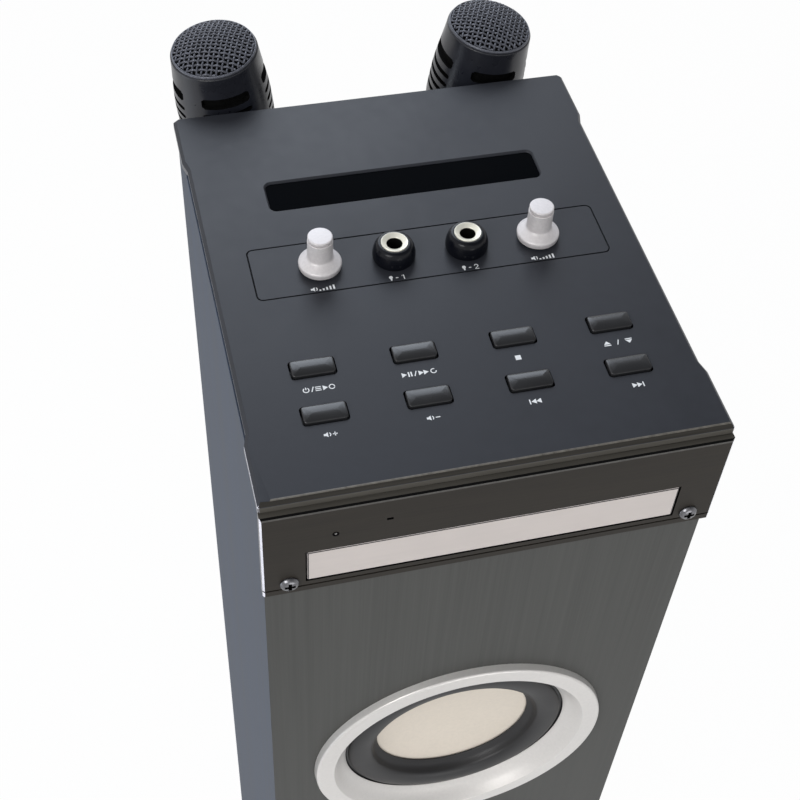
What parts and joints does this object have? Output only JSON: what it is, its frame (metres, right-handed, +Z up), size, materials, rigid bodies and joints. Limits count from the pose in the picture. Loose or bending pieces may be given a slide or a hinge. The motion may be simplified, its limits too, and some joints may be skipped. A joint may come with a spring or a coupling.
{
  "type": "karaoke machine with disc tray",
  "caption": "Floor-standing sound tower: control deck with knobs, sockets and push buttons over a motor-driven disc tray, ringed drivers, and microphones held on the back.",
  "frame": {"origin": "on the floor, under the centre of the control deck", "axes": "+Z up, -Y out of the front (the tray opens that way), +X to the right seen from the front"},
  "size_m": [0.22, 0.2985, 1.0264],
  "materials": {
    "cabinet_front": "brushed foil on board, satin",
    "cabinet_side": "brushed foil on board, satin",
    "raw_board": "raw fibreboard",
    "plinth_black": "painted, satin",
    "foot_rubber": "matt",
    "screw_steel": "blackened",
    "deck_plate": "fine satin",
    "bezel_foil": "brushed, satin",
    "circuit_green": "lacquered board",
    "window_smoke": "polished",
    "jack_black": "satin",
    "jack_metal": "plated",
    "knob_silver": "satin",
    "button_black": "polished",
    "door_silver": "satin paint",
    "loader_grey": "moulded",
    "tray_black": "moulded",
    "gear_white": "moulded",
    "bare_steel": "plated",
    "motor_can": "plated",
    "turntable_black": "moulded",
    "sled_black": "moulded",
    "ring_silver": "satin",
    "cone_silver": "satin metallic paint",
    "surround_rubber": "matt",
    "frame_black": "satin",
    "io_black": "fine texture",
    "switch_black": "polished",
    "socket_body": "moulded",
    "port_black": "moulded",
    "core_steel": "laminated",
    "mic_black": "satin",
    "mic_mesh": "woven wire, painted",
    "holder_black": "moulded"
  },
  "bodies": {
    "cabinet": {"front_baffle": "cabinet_front", "left_side_panel": "cabinet_side", "right_side_panel": "cabinet_side", "back_panel": "cabinet_side", "inner_shelves": "raw_board", "base_plate": "plinth_black", "rubber_feet": "foot_rubber", "screws": "screw_steel", "top_panel": "deck_plate", "front_bezel": "bezel_foil", "indicator_board": "circuit_green", "display_window": "window_smoke", "control_board": "circuit_green", "mic_jack_collars": "jack_black", "mic_jack_sockets": "jack_metal", "loader_chassis": "loader_grey", "loading_motor": "motor_can", "clamp_bridge": "bare_steel", "speaker_trim_rings": "ring_silver", "speaker_frames": "frame_black", "upper_surround": "surround_rubber", "lower_surround": "surround_rubber", "rear_io_panel": "io_black", "mains_inlet": "socket_body", "line_in_sockets": "jack_metal", "bass_port": "port_black", "power_transformer": "core_steel", "amplifier_board": "circuit_green", "mic_holders": "holder_black"},
    "tray": {"disc_tray": "tray_black", "tray_door": "door_silver"},
    "tray_gear": {"tray_gear": "gear_white"},
    "loading_pinion": {"loading_pinion": "gear_white"},
    "traverse": {"traverse_deck": "bare_steel", "traverse_motors": "motor_can", "sled_rods": "bare_steel"},
    "turntable": {"turntable": "turntable_black"},
    "pickup_sled": {"pickup_sled": "sled_black"},
    "feed_gear": {"feed_gear": "gear_white"},
    "clamp_puck": {"clamp_puck": "gear_white"},
    "mic_volume_knob": {"mic_volume_knob": "knob_silver"},
    "mic_echo_knob": {"mic_echo_knob": "knob_silver"},
    "power_switch": {"power_switch": "switch_black"},
    "upper_cone": {"upper_cone": "cone_silver"},
    "lower_cone": {"lower_cone": "cone_silver"},
    "left_mic": {"left_mic_body": "mic_black", "left_mic_grille": "mic_mesh"},
    "right_mic": {"right_mic_body": "mic_black", "right_mic_grille": "mic_mesh"},
    "left_mic_switch": {"left_mic_switch": "knob_silver"},
    "right_mic_switch": {"right_mic_switch": "knob_silver"},
    "power_button": {"power_button": "button_black"},
    "play_button": {"play_button": "button_black"},
    "stop_button": {"stop_button": "button_black"},
    "open_button": {"open_button": "button_black"},
    "volume_up_button": {"volume_up_button": "button_black"},
    "volume_down_button": {"volume_down_button": "button_black"},
    "previous_button": {"previous_button": "button_black"},
    "next_button": {"next_button": "button_black"}
  },
  "joints": [
    {"name": "tray_slide", "type": "slide", "parent": "cabinet", "child": "tray", "axis": [0, -1, 0], "range_m": [0, 0.135]},
    {"name": "tray_gear_turn", "type": "hinge", "parent": "cabinet", "child": "tray_gear", "pos_m": [-0.038, -0.0815, 0.945], "axis": [0, 0, 1], "range_deg": [-5, 780]},
    {"name": "loading_pinion_turn", "type": "hinge", "parent": "cabinet", "child": "loading_pinion", "pos_m": [-0.0188, -0.0815, 0.945], "axis": [0, 0, 1], "range_deg": [-2330, 5]},
    {"name": "traverse_tilt", "type": "hinge", "parent": "cabinet", "child": "traverse", "pos_m": [0, 0.066, 0.945], "axis": [1, 0, 0], "range_deg": [0, 5]},
    {"name": "turntable_spin", "type": "hinge", "parent": "traverse", "child": "turntable", "pos_m": [0, -0.042, 0.955], "axis": [0, 0, 1], "continuous": true},
    {"name": "clamp_puck_spin", "type": "hinge", "parent": "cabinet", "child": "clamp_puck", "pos_m": [0, -0.042, 0.964], "axis": [0, 0, 1], "continuous": true},
    {"name": "pickup_slide", "type": "slide", "parent": "traverse", "child": "pickup_sled", "axis": [0, 1, 0], "range_m": [0, 0.034]},
    {"name": "feed_gear_turn", "type": "hinge", "parent": "traverse", "child": "feed_gear", "pos_m": [0.026, 0.002, 0.941], "axis": [0, 0, 1], "range_deg": [-330, 5]},
    {"name": "power_button_press", "type": "slide", "parent": "cabinet", "child": "power_button", "axis": [0, 0, -1], "range_m": [0, 0.001], "stiffness_N_per_m": 400},
    {"name": "play_button_press", "type": "slide", "parent": "cabinet", "child": "play_button", "axis": [0, 0, -1], "range_m": [0, 0.001], "stiffness_N_per_m": 400},
    {"name": "stop_button_press", "type": "slide", "parent": "cabinet", "child": "stop_button", "axis": [0, 0, -1], "range_m": [0, 0.001], "stiffness_N_per_m": 400},
    {"name": "open_button_press", "type": "slide", "parent": "cabinet", "child": "open_button", "axis": [0, 0, -1], "range_m": [0, 0.001], "stiffness_N_per_m": 400},
    {"name": "volume_up_button_press", "type": "slide", "parent": "cabinet", "child": "volume_up_button", "axis": [0, 0, -1], "range_m": [0, 0.001], "stiffness_N_per_m": 400},
    {"name": "volume_down_button_press", "type": "slide", "parent": "cabinet", "child": "volume_down_button", "axis": [0, 0, -1], "range_m": [0, 0.001], "stiffness_N_per_m": 400},
    {"name": "previous_button_press", "type": "slide", "parent": "cabinet", "child": "previous_button", "axis": [0, 0, -1], "range_m": [0, 0.001], "stiffness_N_per_m": 400},
    {"name": "next_button_press", "type": "slide", "parent": "cabinet", "child": "next_button", "axis": [0, 0, -1], "range_m": [0, 0.001], "stiffness_N_per_m": 400},
    {"name": "mic_volume_knob_turn", "type": "hinge", "parent": "cabinet", "child": "mic_volume_knob", "pos_m": [-0.0478, 0.0064, 1], "axis": [0, 0, 1], "range_deg": [-150, 150]},
    {"name": "mic_echo_knob_turn", "type": "hinge", "parent": "cabinet", "child": "mic_echo_knob", "pos_m": [0.0498, 0.0064, 1], "axis": [0, 0, 1], "range_deg": [-150, 150]},
    {"name": "power_switch_rock", "type": "hinge", "parent": "cabinet", "child": "power_switch", "pos_m": [-0.006, 0.108, 0.15], "axis": [1, 0, 0], "range_deg": [0, 20]},
    {"name": "upper_cone_throw", "type": "slide", "parent": "cabinet", "child": "upper_cone", "axis": [0, -1, 0], "range_m": [-0.0025, 0.0025], "stiffness_N_per_m": 1000, "deforming": ["upper_surround"]},
    {"name": "lower_cone_throw", "type": "slide", "parent": "cabinet", "child": "lower_cone", "axis": [0, -1, 0], "range_m": [-0.0025, 0.0025], "stiffness_N_per_m": 1000, "deforming": ["lower_surround"]},
    {"name": "left_mic_lift", "type": "slide", "parent": "cabinet", "child": "left_mic", "axis": [-0.1173, -0.0593, 0.9913], "range_m": [0, 0.12]},
    {"name": "left_mic_switch_slide", "type": "slide", "parent": "left_mic", "child": "left_mic_switch", "axis": [-0.1173, -0.0593, 0.9913], "range_m": [0, 0.003]},
    {"name": "right_mic_lift", "type": "slide", "parent": "cabinet", "child": "right_mic", "axis": [0.1173, -0.0593, 0.9913], "range_m": [0, 0.12]},
    {"name": "right_mic_switch_slide", "type": "slide", "parent": "right_mic", "child": "right_mic_switch", "axis": [0.1173, -0.0593, 0.9913], "range_m": [0, 0.003]}
  ],
  "couplings": [
    {"joint": "tray_gear_turn", "follows": "tray_slide", "rad_per_m": 100},
    {"joint": "loading_pinion_turn", "follows": "tray_slide", "rad_per_m": -300},
    {"joint": "clamp_puck_spin", "follows": "turntable_spin", "ratio": 1},
    {"joint": "feed_gear_turn", "follows": "pickup_slide", "rad_per_m": -166.67}
  ]
}
